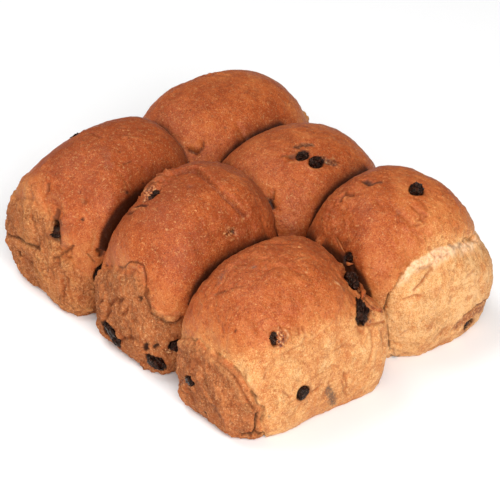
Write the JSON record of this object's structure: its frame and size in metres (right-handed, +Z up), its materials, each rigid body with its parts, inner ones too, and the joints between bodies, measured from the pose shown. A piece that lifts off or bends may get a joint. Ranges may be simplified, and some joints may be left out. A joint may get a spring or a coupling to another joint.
{
  "type": "batch of fruit buns",
  "caption": "Pull-apart batch of fruit buns baked side by side, domed brown crusts set with raisins, pale torn walls on the outer sides, and a flat underside that it rests on.",
  "frame": {"origin": "middle of the underside, on the surface that the batch rests on", "axes": "+X along a row of buns, +Y across the rows, +Z up"},
  "size_m": [0.2016, 0.1643, 0.0745],
  "materials": {
    "crust": "satin baked crust, reddish brown on top, paler and rougher on the torn walls",
    "raisin": "wrinkled, slightly glossy dried fruit"
  },
  "bodies": {
    "root": {"bun_front_left": "crust", "bun_front_middle": "crust", "bun_front_right": "crust", "bun_back_left": "crust", "bun_back_middle": "crust", "bun_back_right": "crust", "raisin_far_crown": "raisin", "raisin_left_pit": "raisin", "raisin_left_seam": "raisin", "raisin_left_wall": "raisin", "raisin_torn_crown": "raisin", "raisin_long_wall": "raisin", "raisin_low_wall": "raisin", "raisin_low_seam": "raisin", "raisin_round_wall": "raisin", "raisin_right_pit": "raisin", "raisin_right_wall": "raisin", "raisin_upper_seam": "raisin", "raisin_big_seam": "raisin", "raisin_corner_wall": "raisin", "raisin_corner_low": "raisin", "raisin_back_crown": "raisin", "raisin_back_fold": "raisin", "raisin_back_wall": "raisin", "raisin_top": "raisin", "raisin_small_seam": "raisin", "raisin_low_corner": "raisin"}
  },
  "joints": []
}
